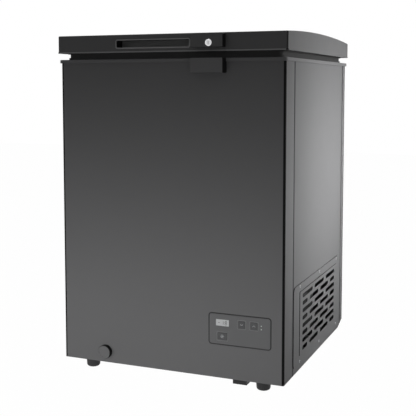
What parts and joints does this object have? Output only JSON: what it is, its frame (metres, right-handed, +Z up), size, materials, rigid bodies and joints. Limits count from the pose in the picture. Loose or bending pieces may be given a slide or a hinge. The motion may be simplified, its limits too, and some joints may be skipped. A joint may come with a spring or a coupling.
{
  "type": "chest freezer",
  "caption": "Small chest freezer on levelling feet, with a top-hinged arched lid, cam lock, grip recess, control panel, drain, wire basket and slotted machine-bay grille.",
  "frame": {"origin": "on the floor, under the middle of the whole object's outline", "axes": "+Z up, -Y towards the front with the grip and the control panel, +X to the right seen from the front"},
  "size_m": [0.598, 0.628, 0.85],
  "materials": {
    "cabinet_paint": "satin dark grey coated sheet with a fine brushed look",
    "lid_shell": "satin dark grey moulding",
    "dark_trim": "satin black moulding",
    "panel_face": "satin dark grey panel",
    "key_caps": "soft grey key tops",
    "grille": "satin dark grey coated sheet",
    "seal_rubber": "black soft rubber",
    "tank_sheet": "pale dimpled sheet",
    "lid_lining": "white formed sheet",
    "plated_steel": "zinc plated steel",
    "bright_lock": "bright plated",
    "foam": "pale rigid foam",
    "copper": "drawn copper tube",
    "compressor_paint": "black enamel",
    "board": "green coated board",
    "display_face": "pale smoked window",
    "lamp_lens": "frosted lens",
    "coated_wire": "white plastic-coated wire"
  },
  "bodies": {
    "cabinet": {"back_panel": "cabinet_paint", "base_pan": "plated_steel", "bay_partition": "plated_steel", "cable_gland": "seal_rubber", "circuit_board": "board", "compressor": "compressor_paint", "compressor_bolts": "plated_steel", "compressor_grommets": "seal_rubber", "compressor_tray": "plated_steel", "condenser_coil": "copper", "control_box": "dark_trim", "discharge_pipe": "copper", "display": "display_face", "drain_pipe": "lid_lining", "drain_spout": "dark_trim", "evaporator_coil": "copper", "filter_dryer": "copper", "fixed_leaf_screws": "plated_steel", "foot_sockets": "plated_steel", "grille_screws": "plated_steel", "indicator_lamps": "lamp_lens", "inner_liner": "tank_sheet", "left_hinge_leaf": "plated_steel", "left_hinge_pin": "plated_steel", "lock_keeper": "dark_trim", "outer_shell": "cabinet_paint", "panel_fascia": "panel_face", "panel_frame": "dark_trim", "right_hinge_leaf": "plated_steel", "right_hinge_pin": "plated_steel", "side_grille": "grille", "starter_box": "dark_trim", "suction_pipe": "copper", "top_rim": "dark_trim", "wall_foam": "foam"},
    "lid": {"lid_shell": "lid_shell", "grip_cup": "lid_shell", "lid_liner": "lid_lining", "lid_foam": "foam", "lid_seal": "seal_rubber", "lock_housing": "dark_trim", "lock_ring": "bright_lock", "left_lid_leaf": "plated_steel", "right_lid_leaf": "plated_steel", "lid_leaf_screws": "plated_steel"},
    "lock": {"lock_barrel": "bright_lock", "lock_cam": "plated_steel"},
    "outer_drain_cap": {"drain_cap": "dark_trim"},
    "floor_plug": {"inner_drain_plug": "seal_rubber"},
    "power_key": {"power_key": "key_caps"},
    "down_key": {"down_key": "key_caps"},
    "up_key": {"up_key": "key_caps"},
    "front_left_foot": {"front_left_foot": "dark_trim"},
    "front_right_foot": {"front_right_foot": "dark_trim"},
    "back_left_foot": {"back_left_foot": "dark_trim"},
    "back_right_foot": {"back_right_foot": "dark_trim"},
    "basket": {"basket_frame": "coated_wire", "basket_hooks": "coated_wire", "basket_cross_wires": "coated_wire", "basket_long_wires": "coated_wire"}
  },
  "joints": [
    {"name": "lid_hinge", "type": "hinge", "parent": "cabinet", "child": "lid", "pos_m": [0, 0.306, 0.7915], "axis": [-1, 0, 0], "range_deg": [0, 85]},
    {"name": "lock_turn", "type": "hinge", "parent": "lid", "child": "lock", "pos_m": [0.1145, -0.3035, 0.818], "axis": [0, -1, 0], "range_deg": [0, 90]},
    {"name": "drain_cap_pull", "type": "slide", "parent": "cabinet", "child": "outer_drain_cap", "axis": [0, -1, 0], "range_m": [0, 0.04]},
    {"name": "floor_plug_lift", "type": "slide", "parent": "cabinet", "child": "floor_plug", "axis": [0, 0, 1], "range_m": [0, 0.05]},
    {"name": "basket_slide", "type": "slide", "parent": "cabinet", "child": "basket", "axis": [-1, 0, 0], "range_m": [0, 0.24]},
    {"name": "power_key_press", "type": "slide", "parent": "cabinet", "child": "power_key", "axis": [0, 1, 0], "range_m": [0, 0.0008], "stiffness_N_per_m": 600},
    {"name": "down_key_press", "type": "slide", "parent": "cabinet", "child": "down_key", "axis": [0, 1, 0], "range_m": [0, 0.0008], "stiffness_N_per_m": 600},
    {"name": "up_key_press", "type": "slide", "parent": "cabinet", "child": "up_key", "axis": [0, 1, 0], "range_m": [0, 0.0008], "stiffness_N_per_m": 600},
    {"name": "front_left_foot_turn", "type": "hinge", "parent": "cabinet", "child": "front_left_foot", "pos_m": [-0.231, -0.25, 0], "axis": [0, 0, 1], "continuous": true},
    {"name": "front_right_foot_turn", "type": "hinge", "parent": "cabinet", "child": "front_right_foot", "pos_m": [0.231, -0.25, 0], "axis": [0, 0, 1], "continuous": true},
    {"name": "back_left_foot_turn", "type": "hinge", "parent": "cabinet", "child": "back_left_foot", "pos_m": [-0.231, 0.2, 0], "axis": [0, 0, 1], "continuous": true},
    {"name": "back_right_foot_turn", "type": "hinge", "parent": "cabinet", "child": "back_right_foot", "pos_m": [0.231, 0.2, 0], "axis": [0, 0, 1], "continuous": true}
  ]
}
